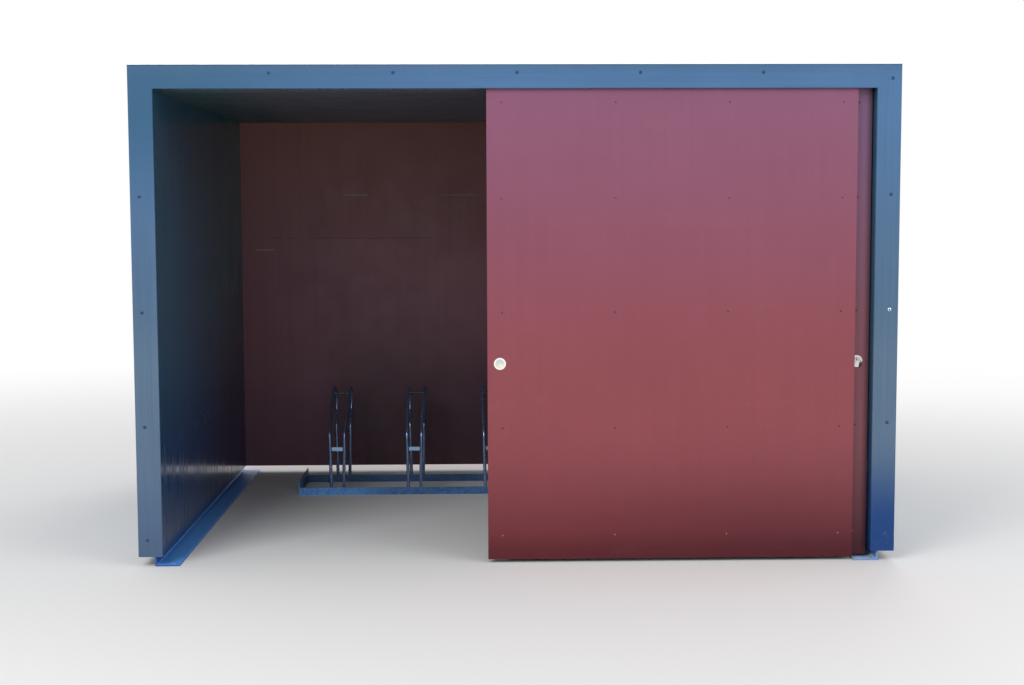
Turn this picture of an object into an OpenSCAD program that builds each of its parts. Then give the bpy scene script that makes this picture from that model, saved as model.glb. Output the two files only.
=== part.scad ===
// Bike shelter: a flat box-shaped frame with an open front, closed by two
// sliding doors on parallel top tracks, with a hoop rack for cycles inside.
// +Z is up, the front faces -Y, and the origin is on the ground at the centre.
// The hardest features are the bent hoops of the rack and the door trolleys.

/* [Shelter] */
// Outer width over the side walls
width = 3300; // [2600:10:4000]
// Outer depth over the front and rear strips
depth = 2500; // [2000:10:3200]
// Height of the roof's top above the ground
height = 2166; // [1900:5:2600]
// Gap between the ground and the wall panels
foot_gap = 44; // [25:1:80]
// Thickness of a side wall, and width of its end strip
wall = 104; // [90:1:160]
// Depth of the roof, from the ceiling to the roof's top
roof = 109; // [100:1:180]
// Depth of the back wall, from its inner face to the rear of the shelter
back = 90; // [70:1:150]
// Thickness of the wall and ceiling panels
panel = 10; // [6:1:14]
// Thickness of the strips on the front and rear edges
strip = 10; // [6:1:16]
// Small chamfer on the edges of the strips
strip_chamfer = 1.5; // [0.5:0.1:3]
// Height of the roof sheet's folded rim
rim = 8; // [5:1:20]
// Thickness of the roof sheet
sheet = 2; // [1:0.5:3]
// How far the roof sheet reaches past the walls and strips
drip = 4; // [4:0.5:30]

/* [Hidden frame] */
// Width of a bar in the wall and roof frames
bar = 60; // [40:1:100]
// Posts in a side wall frame
wall_posts = 5; // [3:1:7]
// Posts in the back wall frame
back_posts = 6; // [3:1:9]
// Spacing of the roof joists, which is also that of the screws in the top strip
joist_pitch = 527; // [400:1:700]
// Joists on each side of the middle one
joist_side = 2; // [1:1:3]

/* [Foot rails] */
// Width of the flange on the ground
flange = 106; // [80:1:160]
// Thickness of the angle
angle_thick = 7; // [4:0.5:12]
// Radius in the root of the angle, twice that of its toes
angle_root = 9; // [4:0.5:14]
// Inner edge of the flange, measured inward from the wall's inner face
flange_out = 71; // [40:1:100]
// Length of the upright leg that is held in the wall frame
leg_lap = 40; // [20:1:80]

/* [Doors] */
// How far the two doors overlap when both are closed
door_overlap = 118; // [60:1:300]
// Gap between the ground and a door
door_gap = 16; // [8:1:40]
// How far a door reaches up behind the top strip
door_rise = 15; // [8:1:20]
// Thickness of the door's front sheet
door_sheet = 8; // [5:1:12]
// Small chamfer on the edges of the front sheet
door_chamfer = 1; // [0.5:0.1:2]
// Depth of the door's frame
door_frame = 22; // [18:1:30]
// How far the frame ends below the top of its sheet
frame_drop = 8; // [4:1:12]
// Gap between the back of the front strips and the outer door
door_set = 10; // [7:1:30]
// Gap between the two doors
door_pass = 12; // [11:1:16]
// Space for the doors behind the front strips
door_bay = 180; // [150:1:260]
// Gap left at a side wall when a door is against it
door_side_gap = 5; // [5:1:20]
// Where the outer door is parked, short of its furthest place to the right
door_parked = 72; // [50:1:90]
// Width of the frame's outer bars
stile = 90; // [60:1:120]
// Width of the frame's inner bars
mullion = 44; // [30:1:60]
// Distance of the screw columns from the door's side
screw_side = 64; // [50:1:80]
// Open fields between the upright bars of a door's frame
door_fields = 3; // [2:1:5]

/* [Pull and lock] */
// Outer diameter of the cup pull and of the lock's rose
rose = 53; // [40:1:70]
// Height of the pull and the lock above the ground
grip_height = 876; // [700:1:1200]
// Distance of the pull and the lock from the door's side
grip_side = 54; // [40:1:70]
// Depth of the cup
cup_depth = 14; // [8:1:20]
// Thickness of the pull's rim
cup_rim = 1.2; // [0.8:0.1:3]
// Wall thickness of the cup
cup_wall = 1.2; // [0.8:0.1:3]
// Width of the pull's flat rim
cup_lip = 6; // [4:0.5:10]
// Thickness of the lock's rose
rose_thick = 2.5; // [1.5:0.1:3]
// Width of the rose's raised rim
rose_rim = 4; // [2:0.5:6]
// Depth of the rose's dished middle
rose_dish = 1; // [0.4:0.1:1.4]
// Diameter of the lock cylinder's round part
barrel = 17; // [14:0.5:18]
// Width of the lock cylinder's straight part
barrel_web = 10; // [8:0.5:12]
// Height of the whole lock cylinder
barrel_height = 33; // [28:0.5:34]
// How far the cylinder stands out of the door
barrel_proud = 4.5; // [3:0.1:5]
// Height of the keyway
keyway = 9; // [6:0.5:11]
// Width of the keyway
keyway_width = 1.8; // [1.2:0.1:3]

/* [Tracks] */
// Width of a track
track_width = 34; // [30:1:40]
// Height of a track
track_height = 36; // [30:1:42]
// Wall thickness of a track
track_wall = 2.5; // [2:0.1:3]
// Width of the slot in the track's underside
track_slot = 14; // [12:0.5:18]
// Gap between the top strip's lower edge and the underside of a track
track_lift = 22; // [18:1:30]
// Diameter of a trolley's wheel
wheel = 20; // [16:0.5:24]
// Width of a wheel
wheel_width = 6; // [4:0.5:7]
// Chamfer on a wheel's edges
wheel_chamfer = 0.8; // [0.3:0.1:1.5]
// Diameter of a wheel's axle
axle = 6; // [4:0.5:8]
// Distance between the two axles
axle_base = 44; // [30:1:70]
// Length of the trolley's body
trolley_length = 70; // [60:1:110]
// Width of the trolley's body
trolley_width = 9; // [8:0.5:11]
// Height of the trolley's body
trolley_height = 14; // [10:0.5:16]
// Gap between the body and a wheel
wheel_play = 0.5; // [0.3:0.1:1]
// Diameter of the bolt that carries the door
hanger = 8; // [6:0.5:10]
// Width of the bolt's nut across its flats
hanger_nut = 13; // [10:0.5:15]
// Height of the nut
nut_height = 6; // [4:0.5:8]
// Thickness of the plate on top of the door
hanger_plate = 4; // [3:0.5:6]
// Length of the plate
hanger_plate_length = 90; // [70:1:140]
// How far the plate stays inside the door's frame
hanger_plate_inset = 2; // [1:0.5:4]
// Distance of a trolley's middle from the door's side
trolley_side = 220; // [120:1:400]

/* [Rack] */
// Places in the rack
places = 6; // [3:1:7]
// Gap between the left wall and the rack
rack_gap_left = 396; // [100:1:500]
// Gap between the right wall and the rack
rack_gap_right = 176; // [100:1:500]
// Distance of the rack's front from the front of the shelter
rack_from_front = 1682; // [1200:1:1800]
// Depth of the rack's base
rack_depth = 445; // [360:1:520]
// Leg of the rack's two rails
rack_angle = 40; // [30:1:60]
// Thickness of the rack's two rails
rack_thick = 4; // [3:0.5:6]
// Height of the flat bar at each end of the rack
end_height = 75; // [50:1:90]
// Thickness of the flat bar at each end
end_thick = 5; // [4:0.5:8]
// Diameter of the hoop tube
tube = 18; // [14:0.5:26]
// Spacing of the two hoops of a place, at the base
hoop_spacing = 66; // [56:1:90]
// Lean of each hoop outward, in degrees
hoop_lean = 1.2; // [0.5:0.1:3]
// Height of a hoop
hoop_height = 552; // [480:1:580]
// Height where the legs begin to turn backward
hoop_bend = 305; // [270:1:320]
// How far the front leg turns backward, in degrees
front_slant = 60; // [50:1:62]
// How far the rear leg turns backward, in degrees
rear_slant = 38; // [20:1:45]
// Radius of the turn in a leg
leg_turn = 60; // [40:1:70]
// How much wider the tube is where it is bent
turn_swell = 0.4; // [0.2:0.1:1]
// Height of the flat tie between the front legs
tie_height = 250; // [120:1:280]
// Height of the flat tie's own bar
tie_bar = 20; // [12:1:30]
// Diameter of the rod that joins the hoops near the top
rod = 12; // [8:0.5:16]
// How far the rod lies below the middle of the tube's top
rod_drop = 23; // [14:1:40]

/* [Hidden] */
$fn = 64;
fit = 0.3;
cut = 1;
half = width / 2;
front = -depth / 2;
rear = depth / 2;
inner = half - wall;
core_in = inner + panel;
core_out = half - panel;
clear_top = height - roof;
rim_under = height - rim;
deck_under = height - sheet;
ceiling_top = clear_top + panel;
wall_front = front + strip;
wall_rear = rear - strip;
back_face = rear - back;
bay_rear = wall_front + door_bay;
leg_out = inner - flange_out + flange;
leg_in = leg_out - angle_thick;

outer_face = wall_front + door_set;
door_depth = door_sheet + door_frame;
inner_face = outer_face + door_depth + door_pass;
door_top = clear_top + door_rise;
door_height = door_top - door_gap;
door_reach = inner - door_side_gap;
door_width = door_reach + door_overlap / 2;
inner_door_x = door_reach - door_width;
outer_door_x = inner_door_x - door_parked;
frame_top = door_top - frame_drop;

track_under = clear_top + track_lift;
track_top = track_under + track_height;
lip_top = track_under + track_wall;
axle_z = lip_top + fit + wheel / 2;

rack_left = rack_gap_left - inner;
rack_right = inner - rack_gap_right;
place_pitch = (rack_right - rack_left) / places;
rack_front = front + rack_from_front;
rack_rear = rack_front + rack_depth;
leg_front = rack_front + rack_thick + fit + tube / 2;
hoop_span = rack_depth - rack_angle;
hoop_axis_top = hoop_height - tube / 2;
front_turned = turned(0, front_slant);
rear_turned = turned(hoop_span, rear_slant);
front_rise = hoop_axis_top - front_turned[1];
rear_rise = hoop_axis_top - rear_turned[1];
front_share = (1 - sin(front_slant)) / cos(front_slant);
rear_share = (1 + sin(rear_slant)) / cos(rear_slant);
top_turn = (rear_turned[0] - front_turned[0] + rear_rise * tan(rear_slant) - front_rise * tan(front_slant))
    / (front_share + rear_share);
top_middle = [
    front_turned[0] + front_rise * tan(front_slant) + top_turn * front_share, hoop_axis_top - top_turn
];
front_run = (top_middle - front_turned) * [sin(front_slant), cos(front_slant)];
rear_run = (top_middle - rear_turned) * [sin(rear_slant), cos(rear_slant)];
turn_grip = 1.5;
round_steps = 6;

anthracite = [0.13, 0.15, 0.18];
wine_red = [0.36, 0.05, 0.06];
galvanised = [0.62, 0.64, 0.66];
steel = [0.75, 0.75, 0.76];

// Helpers

// A box from one corner to the opposite one
module block(lo, hi) {
    translate(lo) cube(hi - lo);
}

// A flat profile drawn in Y and Z, pulled along X from x0 to x1
module along_x(x0, x1) {
    translate([x0, 0, 0]) rotate([90, 0, 90]) linear_extrude(x1 - x0) children();
}

// A flat profile drawn in X and Y, pulled along Z from z0 to z1
module along_z(z0, z1) {
    translate([0, 0, z0]) linear_extrude(z1 - z0) children();
}

// A flat shape drawn in X and Z, given a thickness from y0 to y1
module along_y(y0, y1) {
    translate([0, y1, 0]) rotate([90, 0, 0]) linear_extrude(y1 - y0) children();
}

// A rectangle frame with posts, drawn from [0, 0]
module lattice(w, h, edge, posts, rails, post) {
    step_x = (w - 2 * edge + post) / (posts - 1);
    step_z = (h - 2 * edge + post) / (rails - 1);
    difference() {
        square([w, h]);
        for (i = [0 : posts - 2])
            for (k = [0 : rails - 2])
                translate([edge + i * step_x, edge + k * step_z])
                    square([step_x - post, step_z - post]);
    }
}

// Points on a quarter circle, from the angle a in steps towards a + 90 or a - 90
function quarter(middle, r, a, turn) = [
    for (i = [0 : round_steps])
        middle + r * [cos(a + turn * 90 * i / round_steps), sin(a + turn * 90 * i / round_steps)]
];

// Where the turn in a hoop's leg ends, for a leg that far back and a slant
function turned(back, slant) =
    [back + leg_turn * (1 - cos(slant)), hoop_bend + leg_turn * sin(slant)];

// A rolled angle with its outer corner at [0, 0], a round root and round toes
module angle_section(along, up, thick, root) {
    toe = root / 2;
    polygon(concat(
        [[0, 0], [along, 0]],
        quarter([along - toe, thick - toe], toe, 0, 1),
        quarter([thick + root, thick + root], root, 270, -1),
        quarter([thick - toe, up - toe], toe, 0, 1),
        [[0, up]]
    ));
}

// Foot rails and walls

module foot_rail() {
    color(galvanised) along_y(wall_front, wall_rear) translate([leg_out, 0]) mirror([1, 0])
        angle_section(flange, foot_gap + leg_lap, angle_thick, angle_root);
}

module left_foot_rail() {
    mirror([1, 0, 0]) foot_rail();
}

module right_foot_rail() {
    foot_rail();
}

module wall_frame() {
    color(galvanised) difference() {
        along_x(core_in, core_out)
            translate([wall_front, foot_gap])
                lattice(wall_rear - wall_front, deck_under - foot_gap, bar, wall_posts, 3, bar);
        block([leg_in - fit, wall_front - cut, foot_gap - cut],
            [leg_out + fit, wall_rear + cut, foot_gap + leg_lap]);
    }
}

module left_wall_frame() {
    mirror([1, 0, 0]) wall_frame();
}

module right_wall_frame() {
    wall_frame();
}

module inner_panel() {
    color(anthracite)
        block([inner, wall_front, foot_gap], [core_in, wall_rear, ceiling_top]);
}

module left_inner_panel() {
    mirror([1, 0, 0]) inner_panel();
}

module right_inner_panel() {
    inner_panel();
}

module outer_panel() {
    color(anthracite)
        block([core_out, wall_front, foot_gap], [half, wall_rear, deck_under]);
}

module left_outer_panel() {
    mirror([1, 0, 0]) outer_panel();
}

module right_outer_panel() {
    outer_panel();
}

module back_wall_frame() {
    color(galvanised) along_y(back_face + panel, wall_rear - panel)
        translate([-inner, foot_gap])
            lattice(2 * inner, ceiling_top - foot_gap, bar, back_posts, 3, bar);
}

module back_inner_panel() {
    color(wine_red)
        block([-inner, back_face, foot_gap], [inner, back_face + panel, ceiling_top]);
}

module back_outer_panel() {
    color(wine_red)
        block([-inner, wall_rear - panel, foot_gap], [inner, wall_rear, ceiling_top]);
}

// Roof

module roof_frame() {
    color(galvanised) union() {
        block([-core_in, bay_rear, ceiling_top], [core_in, bay_rear + bar, deck_under]);
        block([-core_in, wall_rear - bar, ceiling_top], [core_in, wall_rear, deck_under]);
        for (side = [-1, 1])
            block([side * (core_in - bar / 2) - bar / 2, bay_rear, ceiling_top],
                [side * (core_in - bar / 2) + bar / 2, wall_rear, deck_under]);
        for (i = [-joist_side : joist_side])
            block([i * joist_pitch - bar / 2, bay_rear, ceiling_top],
                [i * joist_pitch + bar / 2, wall_rear, deck_under]);
    }
}

module track_beam() {
    color(galvanised)
        block([-core_in, wall_front, track_top], [core_in, bay_rear, deck_under]);
}

module ceiling_panel() {
    color(anthracite)
        block([-inner, bay_rear, clear_top], [inner, back_face, ceiling_top]);
}

module roof_sheet() {
    edge = drip - sheet;
    color(galvanised) difference() {
        block([-half - drip, front - drip, rim_under], [half + drip, rear + drip, height]);
        block([-half - edge, front - edge, rim_under - cut], [half + edge, rear + edge, deck_under]);
    }
}

// Section of a board: its width along X, its thickness along Y, with its front edges chamfered
module edged_section(w, thick, c) {
    polygon([[0, thick], [w, thick], [w, c], [w - c, 0], [c, 0], [0, c]]);
}

// Strips on the edges, with chamfered faces and mitred top corners

module side_strip() {
    intersection() {
        along_z(foot_gap, deck_under) translate([inner, front]) edged_section(wall, strip, strip_chamfer);
        along_y(front - cut, wall_front + cut)
            polygon([[inner, 0], [half, 0], [half, deck_under], [inner, clear_top]]);
    }
}

module top_strip() {
    intersection() {
        along_x(-half, half) translate([front, clear_top]) mirror([1, -1])
            edged_section(deck_under - clear_top, strip, strip_chamfer);
        along_y(front - cut, wall_front + cut)
            polygon([[-inner, clear_top], [inner, clear_top], [half, deck_under], [-half, deck_under]]);
    }
}

module front_left_strip() {
    color(anthracite) mirror([1, 0, 0]) side_strip();
}

module front_right_strip() {
    color(anthracite) side_strip();
}

module front_top_strip() {
    color(anthracite) top_strip();
}

module rear_left_strip() {
    color(anthracite) rotate([0, 0, 180]) side_strip();
}

module rear_right_strip() {
    color(anthracite) mirror([0, 1, 0]) side_strip();
}

module rear_top_strip() {
    color(anthracite) mirror([0, 1, 0]) top_strip();
}

// Tracks, and the trolleys that hang the doors in them

module track(y) {
    color(galvanised) along_x(-inner, inner) translate([y, track_under]) difference() {
        translate([-track_width / 2, 0]) square([track_width, track_height]);
        translate([-track_width / 2 + track_wall, track_wall])
            square([track_width - 2 * track_wall, track_height - 2 * track_wall]);
        translate([-track_slot / 2, -cut]) square([track_slot, track_wall + 2 * cut]);
    }
}

module outer_track() {
    track(outer_face + door_sheet + door_frame / 2);
}

module inner_track() {
    track(inner_face + door_sheet + door_frame / 2);
}

// A wheel with chamfered edges, drawn round the Y axis from y = 0
module trolley_wheel() {
    c = wheel_chamfer;
    r = wheel / 2;
    rotate([-90, 0, 0]) rotate_extrude()
        polygon([[0, 0], [r - c, 0], [r, c], [r, wheel_width - c], [r - c, wheel_width], [0, wheel_width]]);
}

// Four wheels on a body in the track, a bolt down through the slot and a plate on the door
module trolley() {
    hub = trolley_width / 2 + wheel_play;
    union() {
        for (side = [-1, 1]) {
            translate([side * axle_base / 2, -hub - wheel_width / 2, axle_z]) rotate([-90, 0, 0])
                cylinder(d = axle, h = 2 * hub + wheel_width);
            translate([side * axle_base / 2, hub, axle_z]) trolley_wheel();
            translate([side * axle_base / 2, -hub - wheel_width, axle_z]) trolley_wheel();
        }
        block([-trolley_length / 2, -trolley_width / 2, axle_z - trolley_height / 2],
            [trolley_length / 2, trolley_width / 2, axle_z + trolley_height / 2]);
        translate([0, 0, frame_top]) cylinder(d = hanger, h = axle_z - frame_top);
        translate([0, 0, frame_top]) cylinder(d = hanger_nut / cos(30), h = hanger_plate + nut_height, $fn = 6);
        block([-hanger_plate_length / 2, -door_frame / 2 + hanger_plate_inset, frame_top],
            [hanger_plate_length / 2, door_frame / 2 - hanger_plate_inset, frame_top + hanger_plate]);
    }
}

module trolleys(x, face) {
    color(steel)
        for (at = [x + trolley_side, x + door_width - trolley_side])
            translate([at, face + door_sheet + door_frame / 2, 0]) trolley();
}

module outer_door_trolleys() {
    trolleys(outer_door_x, outer_face);
}

module inner_door_trolleys() {
    trolleys(inner_door_x, inner_face);
}

// Doors

module door_sheet_at(x, face) {
    color(wine_red) intersection() {
        along_z(door_gap, door_top) translate([x, face])
            edged_section(door_width, door_sheet, door_chamfer);
        along_x(x, x + door_width) translate([face, door_gap]) mirror([1, -1])
            edged_section(door_height, door_sheet, door_chamfer);
    }
}

// The hole for the cup of the pull, from the front of the outer door
module cup_hole(deep) {
    translate([outer_door_x + grip_side, outer_face - cut, grip_height]) rotate([-90, 0, 0])
        cylinder(d = rose - 2 * cup_lip + 2 * fit, h = deep + cut);
}

module door_frame_outline(x) {
    step = (door_width - 2 * screw_side) / door_fields;
    difference() {
        translate([x, door_gap]) square([door_width, frame_top - door_gap]);
        for (i = [0 : door_fields - 1]) {
            left = i == 0 ? stile : screw_side + i * step + mullion / 2;
            right = i == door_fields - 1 ? door_width - stile : screw_side + (i + 1) * step - mullion / 2;
            translate([x + left, door_gap + stile])
                square([right - left, frame_top - door_gap - 2 * stile]);
        }
    }
}

module outer_door_sheet() {
    difference() {
        door_sheet_at(outer_door_x, outer_face);
        cup_hole(door_sheet + cut);
    }
}

module inner_door_sheet() {
    door_sheet_at(inner_door_x, inner_face);
}

module outer_door_frame() {
    back_of_sheet = outer_face + door_sheet;
    color(galvanised) difference() {
        along_y(back_of_sheet, back_of_sheet + door_frame) door_frame_outline(outer_door_x);
        cup_hole(cup_depth + fit);
    }
}

module inner_door_frame() {
    back_of_sheet = inner_face + door_sheet;
    color(galvanised)
        along_y(back_of_sheet, back_of_sheet + door_frame) door_frame_outline(inner_door_x);
}

module outer_door_pull() {
    r_out = rose / 2;
    r_cup = r_out - cup_lip;
    color(steel)
        translate([outer_door_x + grip_side, outer_face, grip_height]) rotate([-90, 0, 0])
            rotate_extrude() polygon([
                [0, cup_depth], [0, cup_depth - cup_wall], [r_cup - cup_wall, cup_depth - cup_wall],
                [r_cup - cup_wall, -cup_rim], [r_out - cup_rim, -cup_rim], [r_out, 0],
                [r_cup, 0], [r_cup, cup_depth]
            ]);
}

// The outline of a lock cylinder: a round part over a straight web with a round end
module barrel_outline() {
    web_low = -barrel_height / 2 + barrel_web / 2;
    union() {
        translate([0, barrel_height / 2 - barrel / 2]) circle(d = barrel);
        translate([-barrel_web / 2, web_low]) square([barrel_web, barrel_height / 2 - barrel / 2 - web_low]);
        translate([0, web_low]) circle(d = barrel_web);
    }
}

module inner_door_lock() {
    r_out = rose / 2;
    r_dish = r_out - rose_rim;
    keyway_up = barrel_height / 2 - barrel / 2 - keyway / 2;
    color(steel)
        translate([inner_door_x + door_width - grip_side, inner_face, grip_height])
            rotate([90, 0, 0]) difference() {
                union() {
                    rotate_extrude() polygon([
                        [0, 0], [r_out, 0], [r_out - rose_dish, rose_thick],
                        [r_dish, rose_thick], [r_dish - rose_dish, rose_thick - rose_dish],
                        [0, rose_thick - rose_dish]
                    ]);
                    linear_extrude(barrel_proud) barrel_outline();
                }
                translate([-keyway_width / 2, keyway_up, rose_thick])
                    cube([keyway_width, keyway, barrel_proud]);
            }
}

// Rack

module rack_rail_profile() {
    union() {
        square([rack_thick, rack_angle]);
        square([rack_angle, rack_thick]);
    }
}

module rack_rail(y) {
    color(galvanised) along_x(rack_left + end_thick, rack_right - end_thick)
        translate([y, 0]) rack_rail_profile();
}

module rack_front_rail() {
    rack_rail(rack_front);
}

module rack_rear_rail() {
    rack_rail(rack_rear - rack_angle);
}

module rack_end(x) {
    color(galvanised) block([x, rack_front, 0], [x + end_thick, rack_rear, end_height]);
}

module rack_left_end() {
    rack_end(rack_left);
}

module rack_right_end() {
    rack_end(rack_right - end_thick);
}

// One leg of a hoop, drawn upright in X and Y, with its turn and its slanted part
module hoop_leg(slant, run) {
    translate([0, -tube, 0]) rotate([-90, 0, 0])
        cylinder(d = tube, h = hoop_bend + tube);
    translate([leg_turn, hoop_bend, 0]) rotate([0, 0, 180 - slant - turn_grip])
        rotate_extrude(angle = slant + 2 * turn_grip) translate([leg_turn, 0]) circle(d = tube + turn_swell);
    translate(turned(0, slant))
        rotate([0, 0, -slant]) rotate([-90, 0, 0]) cylinder(d = tube, h = run);
}

// One tube: both legs turn backward, and meet in a round top
module bent_hoop() {
    rotate([90, 0, 90]) union() {
        hoop_leg(front_slant, front_run);
        translate([hoop_span, 0, 0]) hoop_leg(rear_slant, rear_run);
        translate(top_middle) rotate([0, 0, -rear_slant - turn_grip])
            rotate_extrude(angle = 180 - front_slant + rear_slant + 2 * turn_grip)
                translate([top_turn, 0]) circle(d = tube + turn_swell);
    }
}

module rack_hoop(i) {
    x = rack_left + (i - 0.5) * place_pitch;
    tie_at = hoop_spacing / 2 + (tie_height - rack_thick) * tan(hoop_lean);
    rod_up = hoop_axis_top - rod_drop;
    rod_back = front_turned[0] + (rod_up - front_turned[1]) * tan(front_slant);
    rod_at = hoop_spacing / 2 + (rod_up - rack_thick) * tan(hoop_lean);
    color(galvanised) translate([x, leg_front, 0]) union() {
        difference() {
            for (side = [-1, 1])
                translate([side * hoop_spacing / 2, 0, rack_thick])
                    rotate([0, side * hoop_lean, 0]) translate([0, 0, -rack_thick]) bent_hoop();
            block([-hoop_spacing, -tube, -2 * tube], [hoop_spacing, hoop_span + tube, rack_thick]);
        }
        block([-tie_at, -rack_thick / 2, tie_height - tie_bar / 2],
            [tie_at, rack_thick / 2, tie_height + tie_bar / 2]);
        translate([-rod_at, rod_back, rod_up]) rotate([0, 90, 0]) cylinder(d = rod, h = 2 * rod_at);
    }
}

module rack_hoop_1() {
    rack_hoop(1);
}

module rack_hoop_2() {
    rack_hoop(2);
}

module rack_hoop_3() {
    rack_hoop(3);
}

module rack_hoop_4() {
    rack_hoop(4);
}

module rack_hoop_5() {
    rack_hoop(5);
}

module rack_hoop_6() {
    rack_hoop(6);
}

// Pieces, shown together or one by one

left_foot_rail();
right_foot_rail();
left_wall_frame();
right_wall_frame();
left_inner_panel();
right_inner_panel();
left_outer_panel();
right_outer_panel();
back_wall_frame();
back_inner_panel();
back_outer_panel();
roof_frame();
ceiling_panel();
roof_sheet();
track_beam();
front_left_strip();
front_right_strip();
front_top_strip();
rear_left_strip();
rear_right_strip();
rear_top_strip();
outer_track();
inner_track();
outer_door_sheet();
outer_door_frame();
outer_door_trolleys();
outer_door_pull();
inner_door_sheet();
inner_door_frame();
inner_door_trolleys();
inner_door_lock();
rack_front_rail();
rack_rear_rail();
rack_left_end();
rack_right_end();
rack_hoop_1();
rack_hoop_2();
rack_hoop_3();
rack_hoop_4();
rack_hoop_5();
rack_hoop_6();
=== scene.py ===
"""The looks of a bike shelter with two sliding doors, built round its CAD frame.

Lengths are in metres, with X to the right, Y to the rear and Z up, as in the frame.
"""
import math

import bmesh
import bpy
from mathutils import Matrix, Vector


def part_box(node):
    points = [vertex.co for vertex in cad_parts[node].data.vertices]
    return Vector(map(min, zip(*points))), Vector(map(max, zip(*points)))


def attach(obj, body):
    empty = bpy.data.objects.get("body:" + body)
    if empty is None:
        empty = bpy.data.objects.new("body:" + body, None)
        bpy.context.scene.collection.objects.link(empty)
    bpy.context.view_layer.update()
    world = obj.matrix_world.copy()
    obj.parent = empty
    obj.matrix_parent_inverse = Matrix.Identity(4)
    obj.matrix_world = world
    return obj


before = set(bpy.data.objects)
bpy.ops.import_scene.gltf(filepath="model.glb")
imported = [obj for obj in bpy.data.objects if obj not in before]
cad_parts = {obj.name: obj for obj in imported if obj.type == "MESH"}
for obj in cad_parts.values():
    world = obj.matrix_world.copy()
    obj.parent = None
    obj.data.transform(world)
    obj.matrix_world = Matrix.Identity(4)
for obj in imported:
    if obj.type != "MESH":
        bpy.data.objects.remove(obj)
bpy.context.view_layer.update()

X, Y, Z = 0, 1, 2
FRONT = Vector((0, -1, 0))
REAR = Vector((0, 1, 0))
LEFT = Vector((-1, 0, 0))
RIGHT = Vector((1, 0, 0))

# Camera, fitted to the photograph's frame of 1024 x 685 pixels
PHOTO_WIDTH = 1024
FOCAL_PIXELS = 1523.9
SENSOR_WIDTH = 36.0
CAMERA_PLACE = Vector((-0.17833, -7.80285, 1.52300))
CAMERA_YAW = -0.02343
CAMERA_PITCH = -0.08404
CAMERA_ROLL = 0.00344

# Floor, from where it starts to fade to where it is white; the world's light; the lamps
FLOOR_RADIUS = 90
FLOOR_SIDES = 96
FADE_START = 2.5
FADE_END = 9.0
WORLD_LIGHT = 0.62
LAMP_SIZE = 5.0
LAMP_AIM = Vector((0, 0, 1.0))
LAMPS = {
    "key": ((-5.0, -8.0, 6.0), 420),
    "fill": ((6.5, -6.0, 3.5), 160),
    "behind": ((3.0, 8.0, 6.0), 260),
}

# Screws in the strips: their places, and the widths of their heads and washers
STRIP_SCREW_IN = 0.040
STRIP_SCREW_LOW = 0.118
STRIP_SCREW_PITCH = 0.495
STRIP_SCREW_ROWS = 5
TOP_SCREW_PITCH = 0.527
TOP_SCREW_SIDE = 2
STRIP_HEAD = 0.0135
STRIP_WASHER = 0.0170

# The one unpainted screw, in the right strip: its row, its size, and how far it sits off its place
BARE_SCREW_ROW = 2
BARE_SHIFT = Vector((0.0020, 0, -0.0024))
BARE_HEAD = 0.0155
# The dark disc of painted shade in the bare screw's recess
BARE_RECESS = 0.0080
BARE_RECESS_PROFILE = (
    (BARE_RECESS / 2, 0.0010), (BARE_RECESS / 2, 0.0033), (BARE_RECESS / 3, 0.0034))

# Screws in the door sheets and the outer panels
BOARD_SCREW_ROWS = (0.122, 0.595, 1.099, 1.590, 1.999)
DOOR_SCREW_SIDES = {"outer": 0.064, "inner": 0.058}
DOOR_SCREW_COLUMNS = 4
BOARD_SCREW_SIDE = 0.040
WALL_SCREW_COLUMNS = 5
BACK_SCREW_COLUMNS = 6
DOOR_HEAD = 0.0085
BOARD_HEAD = 0.012

# How far heads and washers rise, how far a washer lifts its head, and how deep both are let in
STRIP_HEAD_RISE = 0.0024
DOOR_HEAD_RISE = 0.0016
BOARD_HEAD_RISE = 0.0020
WASHER_RISE = 0.0008
WASHER_LIFT = 0.0007
SINK = 0.0003

# Their profiles from the rim inward, as shares of radius and rise, and the lobes of the recess
HEAD_FOOT = 0.96
HEAD_PROFILE = ((1.0, 0.25), (0.86, 0.72), (0.62, 0.95), (0.42, 1.0), (0.34, 1.0), (0.30, 0.3))
HEAD_LOBED = (5, 6)
WASHER_PROFILE = ((1.0, 0.6), (0.93, 1.0), (0.5, 1.0))
ROUND_SIDES = 24
LOBES = 6
LOBE_SWING = 0.16

# Pull and lock: where the painted highlights of their rims begin and how softly, and the keyway,
# which is painted shade
CUP_RIM = 0.0195
ROSE_RIM = 0.0205
RIM_EDGE = 0.0008
KEYWAY_WIDE = 0.0032
KEYWAY_TALL = 0.009
KEYWAY_UP = 0.008

# The turn lever beside the cylinder, on the dished floor of the lock's rose, and its rivet
ROSE_FLOOR = 0.0015
LEVER_LENGTH = 0.0185
# The lever is broad enough to also stand for the shade it casts, painted in its dark tone.
LEVER_WIDTH = 0.0105
LEVER_THICK = 0.0025
LEVER_LAYERS = ((0.0, 1.0), (LEVER_THICK * 0.7, 1.0), (LEVER_THICK, 0.8))
LEVER_END_BEVEL = 0.25
LEVER_ROUND_STEPS = 8
LEVER_LEAN = math.radians(15)
LEVER_SIDE = 0.0172
LEVER_DROP = 0.0120
RIVET_HEAD = 0.0056
RIVET_RISE = 0.0012

# Places in the rack: their pitch, the middle of one, and a shift that keeps X above 0
PLACE_PITCH = 0.420
PLACE_MIDDLE = -0.940
PLACE_SHIFT = 10 * PLACE_PITCH - PLACE_MIDDLE

# The flat tie and the rod between the tubes of each hoop, and how far the rod's painted shade fades
# below it
TIE_HEIGHT = 0.250
TIE_HALF = 0.0105
TIE_REACH = 0.0286
ROD_HEIGHT = 0.520
ROD_REACH = 0.0341
ROD_FADE = (0.03, 0.02)
BAR_EDGE = 0.0006

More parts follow.
